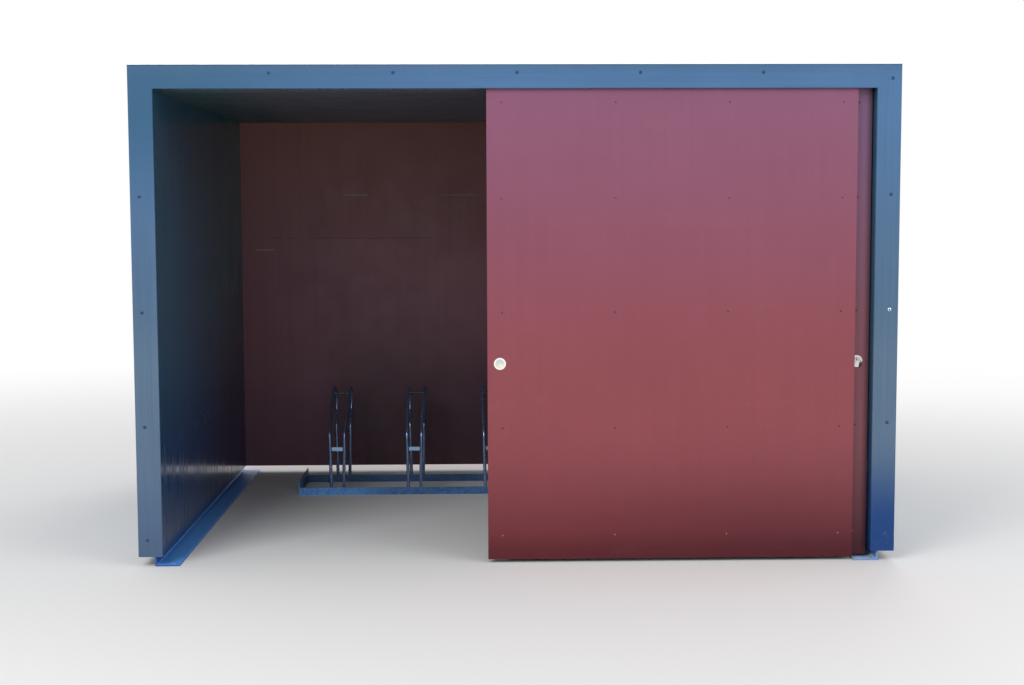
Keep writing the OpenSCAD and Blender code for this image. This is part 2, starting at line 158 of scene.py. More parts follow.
# Weld round each leg of the rack: the radius of its ring and of the bead, the humps of its ripples,
# the corners of its mesh, and how much of a leg's foot is looked at to find its middle
WELD_RING = 0.0088
WELD_BEAD = 0.0022
WELD_HUMPS = 9
WELD_SWING = 0.14
WELD_AROUND = 36
WELD_ACROSS = 10
FOOT_SLICE = 0.0005

# Edges that turn by more than this are drawn sharp
SHARP = math.radians(35)

# Marks on the back board: the middle along X and Z, the length and the width
DASHES = ((-0.882, 1.638, 0.13, 0.005), (-0.250, 1.636, 0.24, 0.004), (-1.412, 1.319, 0.10, 0.006))
SCRATCH = (-0.900, 1.386, 0.94, 0.004)

# How much the paint mirrors, where 0.5 is plain gloss, and how far its roughness swings
SATIN = 0.32
GLOSS_SWING = 0.06

# How rough the foot of the walls is, as a share of the rest
FOOT_SHEEN = 0.74

# Where the tones of the boards start and end, below the ground and at the roof, and where splashes
# are at their thickest
TONE_FOOT = -0.05
TONE_TOP = 2.16
SPLASH_FOOT = 0.02


def paint(red, green, blue):
    """A colour as it shows on a screen, each channel from 0 to 255, as linear RGBA."""
    def linear(c):
        c /= 255
        return c / 12.92 if c <= 0.04045 else ((c + 0.055) / 1.055) ** 2.4
    return (linear(red), linear(green), linear(blue), 1.0)


WHITE = paint(255, 255, 255)
GRIT = paint(150, 138, 120)
DUST = paint(214, 214, 210)


class Finish:
    """A material being made: its shader, and short calls for the nodes that feed it."""

    def __init__(self, name, rough, metal=0.0):
        self.name = name
        self.material = bpy.data.materials.new(name)
        self.material.use_nodes = True
        self.tree = self.material.node_tree
        self.shader = self.tree.nodes["Principled BSDF"]
        self.set("Roughness", rough)
        self.set("Metallic", metal)
        self.place = self.node("ShaderNodeTexCoord").outputs["Object"]
        self.axes = None
        self.normal = None

    def node(self, kind, **settings):
        made = self.tree.nodes.new(kind)
        for key, value in settings.items():
            setattr(made, key, value)
        return made

    def feed(self, socket, value):
        """Links an output to an input, or sets the input to a plain value."""
        if isinstance(value, bpy.types.NodeSocket):
            self.tree.links.new(value, socket)
        else:
            socket.default_value = value

    def set(self, name, value):
        self.feed(self.shader.inputs[name], value)

    def base(self):
        """What feeds the base colour so far."""
        return self.shader.inputs["Base Color"].links[0].from_socket

    # Places

    def split(self, vector):
        """A vector's parts along X, Y and Z."""
        made = self.node("ShaderNodeSeparateXYZ")
        self.feed(made.inputs[0], vector)
        return made.outputs

    def axis(self, index):
        """The place along X, Y or Z."""
        if self.axes is None:
            self.axes = self.split(self.place)
        return self.axes[index]

    def length(self, vector):
        made = self.node("ShaderNodeVectorMath", operation="LENGTH")
        self.feed(made.inputs[0], vector)
        return made.outputs["Value"]

    def moved(self, point):
        """The place measured from a point."""
        made = self.node("ShaderNodeVectorMath", operation="SUBTRACT")
        self.feed(made.inputs[0], self.place)
        made.inputs[1].default_value = point
        return made.outputs[0]

    def scaled(self, x, y, z, place=None):
        made = self.node("ShaderNodeMapping")
        self.feed(made.inputs["Vector"], place or self.place)
        made.inputs["Scale"].default_value = (x, y, z)
        return made.outputs[0]

    # Numbers

    def math(self, operation, a, b=0.0):
        made = self.node("ShaderNodeMath", operation=operation)
        self.feed(made.inputs[0], a)
        self.feed(made.inputs[1], b)
        return made.outputs[0]

    def product(self, *values):
        """All the values multiplied."""
        total = values[0]
        for value in values[1:]:
            total = self.math("MULTIPLY", total, value)
        return total

    def blend(self, a, share, b):
        """That share of a, and the rest of b."""
        return self.math("ADD", self.product(a, share), self.product(b, 1 - share))

    def step(self, value, low, high, bottom=0.0, top=1.0):
        """Runs smoothly from bottom to top while value goes from low to high."""
        made = self.node("ShaderNodeMapRange", interpolation_type="SMOOTHSTEP")
        for index, number in enumerate((value, low, high, bottom, top)):
            self.feed(made.inputs[index], number)
        return made.outputs[0]

    def along(self, axis, start, end, bottom=0.0, top=1.0):
        """Runs smoothly from bottom to top while the place along an axis goes from start to end."""
        return self.step(self.axis(axis), start, end, bottom, top)

    def band(self, value, middle, reach, soft):
        """1 where value lies within reach of the middle, and 0 beyond."""
        away = self.math("ABSOLUTE", self.math("SUBTRACT", value, middle))
        return self.step(away, reach + soft, reach)

    def upright(self):
        """1 on faces that stand upright, 0 on level ones."""
        normal = self.split(self.node("ShaderNodeNewGeometry").outputs["Normal"])
        return self.step(self.math("ABSOLUTE", normal[Z]), 0.6, 0.4)

    # Patterns

    def noise(self, scale, detail=3.0, rough=0.55, place=None):
        made = self.node("ShaderNodeTexNoise")
        self.feed(made.inputs["Vector"], place or self.place)
        made.inputs["Scale"].default_value = scale
        made.inputs["Detail"].default_value = detail
        made.inputs["Roughness"].default_value = rough
        return made.outputs["Fac"]

    def streaks(self, axis, fine, coarse=1.1):
        """Noise drawn out along one axis, as a roller or a brush leaves it."""
        scales = [fine, fine, fine]
        scales[axis] = coarse
        return self.noise(1.0, detail=4.0, place=self.scaled(*scales))

    def cells(self, scale):
        """Flat grains, each with two numbers of its own."""
        made = self.node("ShaderNodeTexVoronoi")
        self.feed(made.inputs["Vector"], self.place)
        made.inputs["Scale"].default_value = scale
        parts = self.node("ShaderNodeSeparateColor")
        self.feed(parts.inputs[0], made.outputs["Color"])
        return parts.outputs[0], parts.outputs[1]

    def mark(self, x, z, length, width, wave, broken):
        """A long thin mark on an upright board: its middle, its size, its wander and its gaps."""
        wander = self.math("SUBTRACT", self.noise(7.0, detail=2.0, place=self.scaled(1, 0, 0)), 0.5)
        height = self.math("SUBTRACT", self.axis(Z), self.product(wander, wave))
        gaps = self.noise(30.0, detail=2.0, place=self.scaled(1, 0, 0.2))
        return self.product(self.band(self.axis(X), x, length / 2, 0.01),
                            self.band(height, z, width / 2, width / 2),
                            self.step(gaps, broken - 0.06, broken + 0.04))

    # Colours and relief

    def mix(self, share, a, b, kind="MIX"):
        made = self.node("ShaderNodeMix", data_type="RGBA", blend_type=kind)
        self.feed(made.inputs[0], share)
        self.feed(made.inputs[6], a)
        self.feed(made.inputs[7], b)
        return made.outputs[2]

    def tint(self, colour, target, *shares):
        """Brings a colour to the target, by the product of the shares."""
        return self.mix(self.product(*shares), colour, target)

    def bump(self, height, depth, strength=1.0):
        """Adds relief of that depth to what the surface already has."""
        made = self.node("ShaderNodeBump")
        made.inputs["Strength"].default_value = strength
        made.inputs["Distance"].default_value = depth
        self.feed(made.inputs["Height"], height)
        if self.normal is not None:
            self.feed(made.inputs["Normal"], self.normal)
        self.normal = made.outputs[0]
        self.set("Normal", self.normal)


# Finishes of the boards

def lacquer(name, deep, rough, grain, peel=0.00012, streak=0.00012):
    """Lacquered board with clouds, faint streaks along the grain's axis and a fine orange peel.

    Gives the finish and, for its colour, a pale pattern that runs from deep to white.
    """
    f = Finish(name, rough)
    f.set("Specular IOR Level", SATIN)
    streaks = f.streaks(grain, 34.0)
    clouds = f.noise(1.6, detail=5.0, rough=0.6)
    pattern = f.mix(f.step(f.blend(streaks, 0.4, clouds), 0.3, 0.7), deep, WHITE)
    specks = f.step(f.noise(420.0, detail=2.0), 0.70, 0.78)
    pattern = f.tint(pattern, DUST, specks, 0.08)
    gloss = f.noise(9.0, detail=5.0)
    f.set("Roughness", f.step(gloss, 0.3, 0.7, rough - GLOSS_SWING, rough + GLOSS_SWING))
    f.bump(f.noise(300.0, detail=2.0), peel)
    f.bump(streaks, streak)
    return f, pattern


def by_height(f, low, middle, high, lower_end=1.2, upper_start=1.0):
    """A tone that runs from low at the ground over middle to high at the roof."""
    lower = f.mix(f.along(Z, TONE_FOOT, lower_end), low, middle)
    return f.mix(f.along(Z, upper_start, TONE_TOP), lower, high)


def shaded(f, tone, pattern):
    """A tone multiplied by a pale pattern."""
    return f.mix(1.0, tone, pattern, "MULTIPLY")


def splashed(f, colour, reach, strength):
    """Dried splashes of grit near the ground, over a colour."""
    low = f.along(Z, reach, SPLASH_FOOT)
    spots = f.step(f.noise(60.0, detail=6.0, rough=0.7), 0.50, 0.66)
    film = f.step(f.noise(5.0, detail=4.0), 0.3, 0.8)
    return f.tint(colour, GRIT, low, strength, f.blend(spots, 0.6, film))


def strip_finish(name, grain):
    """Slate-blue satin strips, paler half way up; a painted sky reflection makes them bluer towards
    the top, and painted shade makes them darker and bluer at the top left and the right foot.
    """
    f, pattern = lacquer(name, paint(236, 238, 240), 0.42, grain)
    # Painted sky reflection: the tone grows bluer towards the top.
    tone = by_height(f, paint(84, 108, 140), paint(82, 112, 142), paint(78, 120, 165))
    colour = shaded(f, tone, pattern)
    # Painted shade: darker and bluer at the top left.
    painted_shade_top_left = f.product(f.along(X, -0.2, -1.6), f.along(Z, 1.42, 1.98))
    colour = f.tint(colour, paint(44, 92, 128), painted_shade_top_left)
    half_way = f.band(f.axis(Z), 0.65, 0.20, 0.35)
    colour = f.tint(colour, paint(114, 134, 148), half_way, 0.25)
    foot = f.along(Z, 0.20, 0.02)
    colour = f.tint(colour, paint(48, 82, 112), foot, 0.3)
    top_edge = f.along(Z, 2.09, 2.15)
    colour = f.tint(colour, paint(70, 100, 130), top_edge, 0.35)
    # Painted shade: deep blue at the foot of the right front strip.
    painted_shade_right_foot = f.product(f.along(Y, 0.0, -0.8), f.along(X, 1.3, 1.5), f.along(Z, 0.57, 0.15))
    colour = f.tint(colour, paint(0, 60, 125), painted_shade_right_foot, 0.95)
    brushed = f.step(f.streaks(grain, 130.0, 2.5), 0.45, 0.7, 0.0, 0.16)
    colour = f.tint(colour, paint(52, 82, 116), brushed)
    chalk = f.step(f.noise(3.0, detail=6.0, rough=0.65), 0.55, 0.8)
    colour = f.tint(colour, paint(122, 142, 160), chalk, 0.14)
    f.set("Base Color", splashed(f, colour, 0.25, 0.12))
    return f


def wall_finish(name, low, high, rear, smooth, rough):
    """Dark glossy boards, whose tone is painted light: deep blue near the ground from a painted sky
    reflection, and paler teal towards the back.

    Their sheen swings from smooth to rough in upright streaks, most of all near the ground.
    """
    f, pattern = lacquer(name, paint(234, 236, 240), rough, Z, peel=0.00002, streak=0.00002)
    # Painted light: deep blue at the ground from a painted sky reflection, turning to the rear
    # colour towards the back.
    painted_light_toward_rear = f.product(f.along(Y, -0.6, 1.1), f.along(Z, 0.5, 1.4))
    colour = shaded(f, f.mix(painted_light_toward_rear, by_height(f, low, high, high), rear), pattern)
    streaked = f.math("SUBTRACT", f.step(f.streaks(Z, 34.0, 0.8), 0.36, 0.62), 0.5)
    swing = f.product(f.along(Z, 0.8, 0.3, 0.2, 1.0), rough - smooth)
    middle = (smooth + rough) / 2
    level = f.along(Z, 0.25, 0.60, middle * FOOT_SHEEN, middle)
    f.set("Roughness", f.math("ADD", f.product(streaked, swing), level))
    f.bump(f.noise(1.0, detail=1.0, place=f.scaled(16.0, 16.0, 0.15)), 0.00008)
    rubs = f.step(f.streaks(Y, 60.0, 2.0), 0.66, 0.72)
    colour = f.tint(colour, paint(110, 124, 140), rubs, f.along(Z, 1.3, 0.5), 0.12)
    f.set("Base Color", splashed(f, colour, 0.20, 0.06))
    return f


def door_finish(name, low_left, low_right, middle, high, edge=0.0):
    """Wine-red sheets with faint upright streaks; a painted sky reflection makes them paler and
    bluish above, and painted shade makes them deeper below, more so on the right.

    Edge is how dark the right strip's shade makes the last centimetres there.
    """
    f, pattern = lacquer(name, paint(246, 245, 245), 0.36, Z)
    # Painted shade: the foot is darker, and darker on the right than on the left.
    low = f.mix(f.along(X, -0.1, 1.3), low_left, low_right)
    colour = shaded(f, by_height(f, low, middle, high, 0.62, 0.7), pattern)
    wipes = f.step(f.noise(1.0, detail=5.0, rough=0.7, place=f.scaled(2.0, 2.0, 6.0)), 0.60, 0.78)
    colour = f.tint(colour, paint(190, 150, 150), wipes, 0.05)
    colour = f.tint(colour, paint(66, 0, 18), f.along(Z, 0.15, 0.03), 0.45)
    if edge:
        colour = f.tint(colour, paint(34, 16, 20), f.along(X, 1.507, 1.547), edge)
    f.set("Base Color", splashed(f, colour, 0.14, 0.03))
    return f


def ceiling_finish(name, front, rear):
    """Dark satin board overhead, with painted light that makes it paler towards the back and darker
    and greener along the left side.
    """
    f, pattern = lacquer(name, paint(228, 228, 230), 0.5, Y)
    # Painted light: paler towards the back, darker and greener along the left side.
    tone = f.mix(f.along(Y, -1.2, 1.1), front, rear)
    tone = f.tint(tone, paint(70, 104, 108), f.along(X, -1.1, -1.4, 0.0, 0.8))
    f.set("Base Color", shaded(f, tone, pattern))
    return f


def back_finish(name, low, middle, high):
    """The red board at the back, with the marks that handlebars and bags have left, and painted
    shade that makes it darker low down.
    """
    f, pattern = lacquer(name, paint(238, 236, 236), 0.42, Z)
    # Painted shade: darker towards the ground.
    colour = shaded(f, by_height(f, low, middle, high), pattern)
    # Painted shade: darker still low down, everywhere but near the left wall.
    colour = f.tint(colour, paint(76, 50, 62), f.along(X, -1.2, -0.75), f.along(Z, 1.3, 0.2))
    for dash in DASHES:
        colour = f.tint(colour, paint(206, 200, 196), f.mark(*dash, wave=0.004, broken=0.44), 0.4)
    colour = f.tint(colour, paint(40, 26, 28), f.mark(*SCRATCH, wave=0.022, broken=0.42), 0.4)
    scuffs = f.step(f.noise(1.0, detail=6.0, rough=0.7, place=f.scaled(3.0, 3.0, 9.0)), 0.62, 0.72)
    colour = f.tint(colour, paint(130, 108, 108), scuffs, f.band(f.axis(Z), 0.62, 0.22, 0.35), 0.12)
    f.set("Base Color", splashed(f, colour, 0.25, 0.2))
    return f


# Finishes of the metal

def galvanised_finish(name, pale, deep, rough=0.46, metal=0.6, spangle=0.45, relief=1.0,
                      painted_shade_sides=None):
    """Hot-dip zinc: spangle in flat grains, dull patches and a film of dust.

    The last argument is painted shade: a darker colour for the upright faces, where they have one.
    """
    f = Finish(name, rough, metal=metal)
    shade, height = f.cells(85.0)
    tone = f.blend(shade, spangle, f.noise(6.0, detail=6.0, rough=0.65))
    colour = f.mix(f.step(tone, 0.25, 0.75), deep, pale)
    bloom = f.step(f.noise(24.0, detail=6.0, rough=0.7), 0.60, 0.72)
    colour = f.tint(colour, paint(186, 196, 206), bloom, 0.15)
    # Painted shade: upright faces darker than level ones.
    if painted_shade_sides:
        colour = f.tint(colour, painted_shade_sides, f.upright())
    f.set("Base Color", colour)
    f.set("Roughness", f.step(tone, 0.2, 0.8, rough - 0.12, rough + 0.12))
    f.bump(height, 0.00006, relief)
    f.bump(f.noise(140.0, detail=3.0), 0.00015, relief)
    return f


def rack_finish(name, pale, deep, painted_light_pale, painted_light_deep, rear):
    """Zinc of the rack's base, with painted light that makes the front rail's left end paler and
    bluer, and painted shade that makes the rear darker.
    """
    f = galvanised_finish(name, pale, deep)
    # Painted light: the front rail's left end paler and bluer.
    left = f.mix(f.step(f.noise(55.0, detail=4.0), 0.35, 0.65), painted_light_deep, painted_light_pale)
    colour = f.tint(f.base(), left, f.along(X, -0.55, -1.0), f.along(Y, 0.60, 0.50))
    # Painted shade: the rear darker.
    f.set("Base Color", f.tint(colour, rear, f.along(Y, 0.60, 0.70), 0.6))
    return f


def hoop_finish(name, pale, deep, tie, rod):
    """Zinc on the bent tubes; a painted highlight makes the flat tie between the front legs paler,
    and painted shade makes the rod darker.
    """
    f = galvanised_finish(name, pale, deep, 0.20, metal=0.7, spangle=0.15, relief=0.25)
    away = f.math("PINGPONG", f.math("ADD", f.axis(X), PLACE_SHIFT), PLACE_PITCH / 2)
    # Painted highlight: the flat tie paler.
    colour = f.tint(f.base(), tie, f.band(away, 0.0, TIE_REACH, BAR_EDGE),
                    f.band(f.axis(Z), TIE_HEIGHT, TIE_HALF, BAR_EDGE))
    # Painted shade: the rod darker.
    f.set("Base Color", f.tint(colour, rod, f.band(away, 0.0, ROD_REACH, BAR_EDGE),
                               f.along(Z, ROD_HEIGHT - ROD_FADE[0], ROD_HEIGHT - ROD_FADE[1])))
    return f


def turned_finish(name, middle, rim, upper, lower):
    """Steel turned on a lathe, with fine rings and wiped smears; a painted highlight brightens the
    rim, and a painted reflection inside it is greyer above and creamier below.
    """
    f = Finish(name, 0.24, metal=0.8)
    away = f.length(f.scaled(1, 0, 1, place=f.moved(middle)))
    turned = f.node("ShaderNodeTexNoise", noise_dimensions="1D")
    f.feed(turned.inputs["W"], away)
    turned.inputs["Scale"].default_value = 2600.0
    turned.inputs["Detail"].default_value = 2.0
    smear = f.noise(70.0, detail=4.0)
    height = f.math("SUBTRACT", f.axis(Z), middle.z)
    # Painted reflection: greyer above, creamier below.
    inside = f.mix(f.step(height, -0.012, 0.008), lower, upper)
    inside = f.tint(inside, paint(170, 172, 170), smear, 0.25)
    # Painted highlight on the rim.
    painted_rim_highlight = f.step(away, rim - RIM_EDGE, rim + RIM_EDGE)
    f.set("Base Color", f.tint(inside, paint(255, 250, 247), painted_rim_highlight))
    f.set("Roughness", f.step(smear, 0.3, 0.7, 0.16, 0.34))
    f.bump(turned.outputs["Fac"], 0.00003)
    return f


def lock_finish(name, middle, rim, upper, lower):
    """Turned steel, with painted shade in the keyway of the cylinder."""
    f = turned_finish(name, middle, rim, upper, lower)
    place = f.split(f.moved(middle))
    # Painted shade: the keyway dark.
    f.set("Base Color", f.tint(f.base(), paint(40, 42, 44),
                               f.band(place[X], 0.0, KEYWAY_WIDE / 2, 0.0006),
                               f.band(place[Z], KEYWAY_UP, KEYWAY_TALL / 2, 0.0008)))
    return f


def steel_finish(name, pale, deep, rough):
    """Bright or dark steel with a drawn grain."""
    f = Finish(name, rough, metal=1.0)
    grain = f.streaks(X, 900.0, 12.0)
    f.set("Base Color", f.mix(grain, deep, pale))
    f.set("Roughness", f.step(f.noise(45.0, detail=4.0), 0.3, 0.7, rough - 0.08, rough + 0.1))
    f.bump(grain, 0.00004)
    return f


def roof_finish(name):
    """Dull mill-finish sheet with a bright edge all round."""
    f = Finish(name, 0.5)
    cloud = f.noise(1.3, detail=5.0, rough=0.6)
    colour = f.mix(f.streaks(Y, 40.0, 0.6), paint(142, 150, 158), paint(166, 174, 182))
    colour = f.tint(colour, paint(122, 126, 128), f.step(cloud, 0.45, 0.70, 0.0, 0.16))
    stain = f.step(f.noise(16.0, detail=6.0, rough=0.75), 0.64, 0.74)
    colour = f.tint(colour, paint(96, 92, 84), stain, 0.18)
    edge = f.upright()
    f.set("Base Color", f.tint(colour, paint(250, 252, 255), edge))
    f.set("Metallic", f.step(edge, 0.0, 1.0, 0.55, 0.3))
    f.set("Roughness", f.step(cloud, 0.3, 0.7, 0.54, 0.60))
    f.bump(f.noise(5.0, detail=2.0), 0.0004)
    return f


def plain_finish(name, colour, rough):
    """Small dark pieces: one tone, broken by fine noise in colour, sheen and relief."""
    f = Finish(name, rough)
    speck = f.noise(900.0, detail=3.0)
    paler = tuple(min(1.0, c * 1.7 + 0.004) for c in colour[:3]) + (1.0,)
    f.set("Base Color", f.mix(f.step(speck, 0.4, 0.75), colour, paler))
    f.set("Roughness", f.step(speck, 0.3, 0.7, max(0.05, rough - 0.1), rough + 0.1))
    f.bump(speck, 0.00003)
    return f


def red_screw_finish(name):
    """Heads painted with the doors: dark against the sheet and paler above, with a painted
    highlight that makes them bright near the ground.
    """
    f = plain_finish(name, paint(88, 40, 52), 0.5)
    colour = f.tint(f.base(), paint(110, 56, 70), f.along(Z, 1.1, 1.6))
    # Painted highlight: heads bright near the ground.
    f.set("Base Color", f.tint(colour, paint(152, 94, 100), f.along(Z, 0.45, 0.15)))
    return f


def make_finishes():
    """All finishes of the shelter, by name."""
    lock_low, lock_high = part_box("inner_door_lock")
    pull_low, pull_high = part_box("outer_door_pull")
    # Much of the blue in these tones is painted light: the cast of open shade under a blue sky, on
    # the strips, the walls and the zinc.
    made = (
        strip_finish("strip_upright", Z),
        strip_finish("strip_level", X),
        wall_finish("wall_inner", paint(10, 56, 110), paint(51, 95, 119), paint(44, 140, 150),
                    0.14, 0.31),
        wall_finish("wall_outer", paint(76, 104, 134), paint(80, 112, 142), paint(80, 112, 142),
                    0.34, 0.42),
        door_finish("door_red", paint(104, 37, 44), paint(86, 25, 37), paint(146, 73, 81),
                    paint(141, 87, 116)),
        door_finish("door_red_shaded", paint(90, 34, 48), paint(86, 32, 47), paint(154, 93, 103),
                    paint(151, 110, 148), edge=0.8),
        door_finish("back_red_outer", paint(124, 60, 66), paint(118, 56, 63), paint(150, 80, 88),
                    paint(148, 84, 96)),
        back_finish("back_red", paint(128, 90, 108), paint(161, 110, 123), paint(177, 120, 113)),
        ceiling_finish("ceiling", paint(92, 96, 106), paint(124, 128, 136)),
        roof_finish("roof_metal"),
        rack_finish("zinc", paint(88, 130, 180), paint(65, 103, 154), paint(120, 178, 244),
                    paint(94, 152, 222), paint(62, 86, 120)),
        hoop_finish("zinc_tube", paint(139, 160, 198), paint(114, 135, 174), paint(153, 187, 220),
                    paint(62, 77, 82)),
        # The foot rails are a shaded and a lit copy of one zinc: deep blue painted shade on the
        # left, paler painted light on the right.
        galvanised_finish("zinc_ground_left", paint(112, 186, 255), paint(86, 158, 255), 0.42,
                          metal=0.0, painted_shade_sides=paint(46, 90, 165)),
        galvanised_finish("zinc_ground_right", paint(205, 228, 255), paint(180, 210, 255), 0.42,
                          metal=0.0, painted_shade_sides=paint(118, 152, 206)),
        galvanised_finish("zinc_shaded", paint(120, 128, 138), paint(86, 94, 104), 0.55),
        turned_finish("pull_steel", (pull_low + pull_high) / 2, CUP_RIM, paint(224, 234, 231),
                      paint(250, 245, 230)),
        lock_finish("lock_steel", (lock_low + lock_high) / 2, ROSE_RIM, paint(190, 195, 198),
                    paint(228, 228, 226)),
        steel_finish("steel_bright", paint(196, 197, 200), paint(150, 152, 156), 0.3),
        steel_finish("screw_bare", paint(244, 248, 255), paint(210, 218, 230), 0.25),
        steel_finish("lever_dark", paint(80, 82, 84), paint(44, 46, 48), 0.3),
        plain_finish("screw_painted", paint(14, 58, 102), 0.45),
        plain_finish("washer_painted", paint(52, 88, 126), 0.6),
        plain_finish("recess_painted_shade", paint(22, 26, 34), 0.8),
        red_screw_finish("screw_red"),
    )
    return {f.name: f for f in made}


def dress_all(finishes):
    """Gives every CAD node its finish."""
    worn = {
        "back_inner_panel": "back_red", "back_outer_panel": "back_red_outer",
        "back_wall_frame": "zinc_shaded", "roof_frame": "zinc_shaded", "track_beam": "zinc_shaded",
        "ceiling_panel": "ceiling", "roof_sheet": "roof_metal",
        "outer_door_sheet": "door_red", "inner_door_sheet": "door_red_shaded",
        "outer_door_pull": "pull_steel", "inner_door_lock": "lock_steel",
    }
    for side in ("left", "right"):
        worn[side + "_foot_rail"] = "zinc_ground_" + side
        worn[side + "_wall_frame"] = "zinc_shaded"
        worn[side + "_inner_panel"] = "wall_inner"
        worn[side + "_outer_panel"] = "wall_outer"
        worn["rack_" + side + "_end"] = "zinc"
        for end in ("front", "rear"):
            worn[end + "_" + side + "_strip"] = "strip_upright"
    for end in ("front", "rear"):
        worn[end + "_top_strip"] = "strip_level"
        worn["rack_" + end + "_rail"] = "zinc"
    for door in ("outer", "inner"):
        worn[door + "_door_frame"] = "zinc_shaded"
        worn[door + "_track"] = "zinc_shaded"
        worn[door + "_door_trolleys"] = "steel_bright"
    for node in hoops():
        worn[node] = "zinc_tube"
    for node, name in worn.items():
        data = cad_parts[node].data
        data.materials.clear()
        data.materials.append(finishes[name].material)


def hoops():
    """The names of the rack's hoops."""
    return sorted(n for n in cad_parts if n.startswith("rack_hoop"))


# Fasteners and other small pieces

def polar(r, angle, height):
    """The point at that radius and angle round Z."""
    return Vector((r * math.cos(angle), r * math.sin(angle), height))


def rings(bm, at, outward, profile, lobed=()):
    """A turned shape of rings (radius, height), joined in order; lobed names those with lobes."""
    turn = outward.to_track_quat("Z", "Y").to_matrix()
    loops = []
    for index, (radius, height) in enumerate(profile):
        loop = []
        for k in range(ROUND_SIDES):
            angle = 2 * math.pi * k / ROUND_SIDES
            r = radius * (1 + LOBE_SWING * math.cos(LOBES * angle)) if index in lobed else radius
            loop.append(bm.verts.new(at + turn @ polar(r, angle, height)))
        loops.append(loop)
    join(bm, loops)
    bm.faces.new(loops[-1])
    bm.faces.new(list(reversed(loops[0])))


def join(bm, loops):
    """Faces between each closed loop of corners and the next."""
    for a, b in zip(loops, loops[1:]):
        count = len(a)
        for k in range(count):
            bm.faces.new((a[k], a[(k + 1) % count], b[(k + 1) % count], b[k]))


def piece(name, bm, body, finish):
    """Makes an object of a finished mesh, and lets it ride on its body."""
    bmesh.ops.recalc_face_normals(bm, faces=bm.faces)
    data = bpy.data.meshes.new(name)
    bm.to_mesh(data)
    bm.free()
    data.materials.append(finish.material)
    made = bpy.data.objects.new(name, data)
    bpy.context.scene.collection.objects.link(made)
    data.shade_smooth()
    data.set_sharp_from_angle(angle=SHARP)
    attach(made, body)


def pan_head(bm, at, outward, width, rise):
    """A domed screw head with a six-lobed recess, seated on the point at."""
    r = width / 2
    profile = [(r * HEAD_FOOT, -SINK)] + [(r * wide, rise * tall) for wide, tall in HEAD_PROFILE]
    rings(bm, at, outward, profile, HEAD_LOBED)


def washer(bm, at, outward):
    """A flat sealing washer with a soft edge, under a screw head."""
    r = STRIP_WASHER / 2
    profile = [(r, -SINK)] + [(r * wide, WASHER_RISE * tall) for wide, tall in WASHER_PROFILE]
    rings(bm, at, outward, profile)


def screw_row(name, points, outward, body, finish, width, rise, washers=None):
    """Screws at these points in one mesh, and in another their washers, if they have a finish."""
    heads = bmesh.new()
    lift = WASHER_LIFT if washers else 0.0
    for point in points:
        pan_head(heads, point + outward * lift, outward, width, rise)
    piece(name, heads, body, finish)
    if washers:
        seats = bmesh.new()
        for point in points:
            washer(seats, point, outward)
        piece(name + "_washers", seats, body, washers)


def strip_points(end, outward):
    """Where the screws sit in the two side strips and the top strip of one end."""
    points = []
    for side in ("left", "right"):
        low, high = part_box(end + "_" + side + "_strip")
        x = low.x + STRIP_SCREW_IN if low.x < 0 else high.x - STRIP_SCREW_IN
        y = low.y if outward.y < 0 else high.y
        for k in range(STRIP_SCREW_ROWS):
            points.append(Vector((x, y, STRIP_SCREW_LOW + k * STRIP_SCREW_PITCH)))
    low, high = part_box(end + "_top_strip")
    y = low.y if outward.y < 0 else high.y
    for k in range(-TOP_SCREW_SIDE, TOP_SCREW_SIDE + 1):
        points.append(Vector((k * TOP_SCREW_PITCH, y, high.z - STRIP_SCREW_IN)))
    return points


def grid_points(node, outward, columns, side):
    """Where the screws sit in a board: columns from side to side, and the usual rows."""
    low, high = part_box(node)
    across, through = (X, Y) if outward.x == 0 else (Y, X)
    points = []
    for k in range(columns):
        along = low[across] + side + k * (high[across] - low[across] - 2 * side) / (columns - 1)
        for z in BOARD_SCREW_ROWS:
            point = Vector((0, 0, z))
            point[across] = along
            point[through] = high[through] if outward[through] > 0 else low[through]
            points.append(point)
    return points


def add_screws(finishes):
    """All screws with their washers; the front frame has none at its top left corner."""
    dark = finishes["screw_painted"]
    red = finishes["screw_red"]
    washers = finishes["washer_painted"]
    for end, outward in (("front", FRONT), ("rear", REAR)):
        points = strip_points(end, outward)
        if end == "front":
            unpainted = points.pop(STRIP_SCREW_ROWS + BARE_SCREW_ROW) + BARE_SHIFT
            points.pop(STRIP_SCREW_ROWS - 1)
            screw_row("front_strip_bare_screw", [unpainted], outward, "shelter",
                      finishes["screw_bare"], BARE_HEAD, STRIP_HEAD_RISE, washers)
            # A dark disc of painted shade sits in the recess of the bare screw's head.
            plug = bmesh.new()
            rings(plug, unpainted, outward, BARE_RECESS_PROFILE)
            piece("front_strip_bare_screw_painted_shade", plug, "shelter",
                  finishes["recess_painted_shade"])
        screw_row(end + "_strip_screws", points, outward, "shelter",
                  dark, STRIP_HEAD, STRIP_HEAD_RISE, washers)
    for door in ("outer", "inner"):
        side = DOOR_SCREW_SIDES[door]
        points = grid_points(door + "_door_sheet", FRONT, DOOR_SCREW_COLUMNS, side)
        screw_row(door + "_door_screws", points, FRONT, door + "_door",
                  red, DOOR_HEAD, DOOR_HEAD_RISE)
    for side, outward in (("left", LEFT), ("right", RIGHT)):
        points = grid_points(side + "_outer_panel", outward, WALL_SCREW_COLUMNS, BOARD_SCREW_SIDE)
        screw_row(side + "_wall_screws", points, outward, "shelter",
                  dark, BOARD_HEAD, BOARD_HEAD_RISE)
    points = grid_points("back_outer_panel", REAR, BACK_SCREW_COLUMNS, BOARD_SCREW_SIDE)
    screw_row("back_wall_screws", points, REAR, "shelter",
              red, BOARD_HEAD, BOARD_HEAD_RISE)


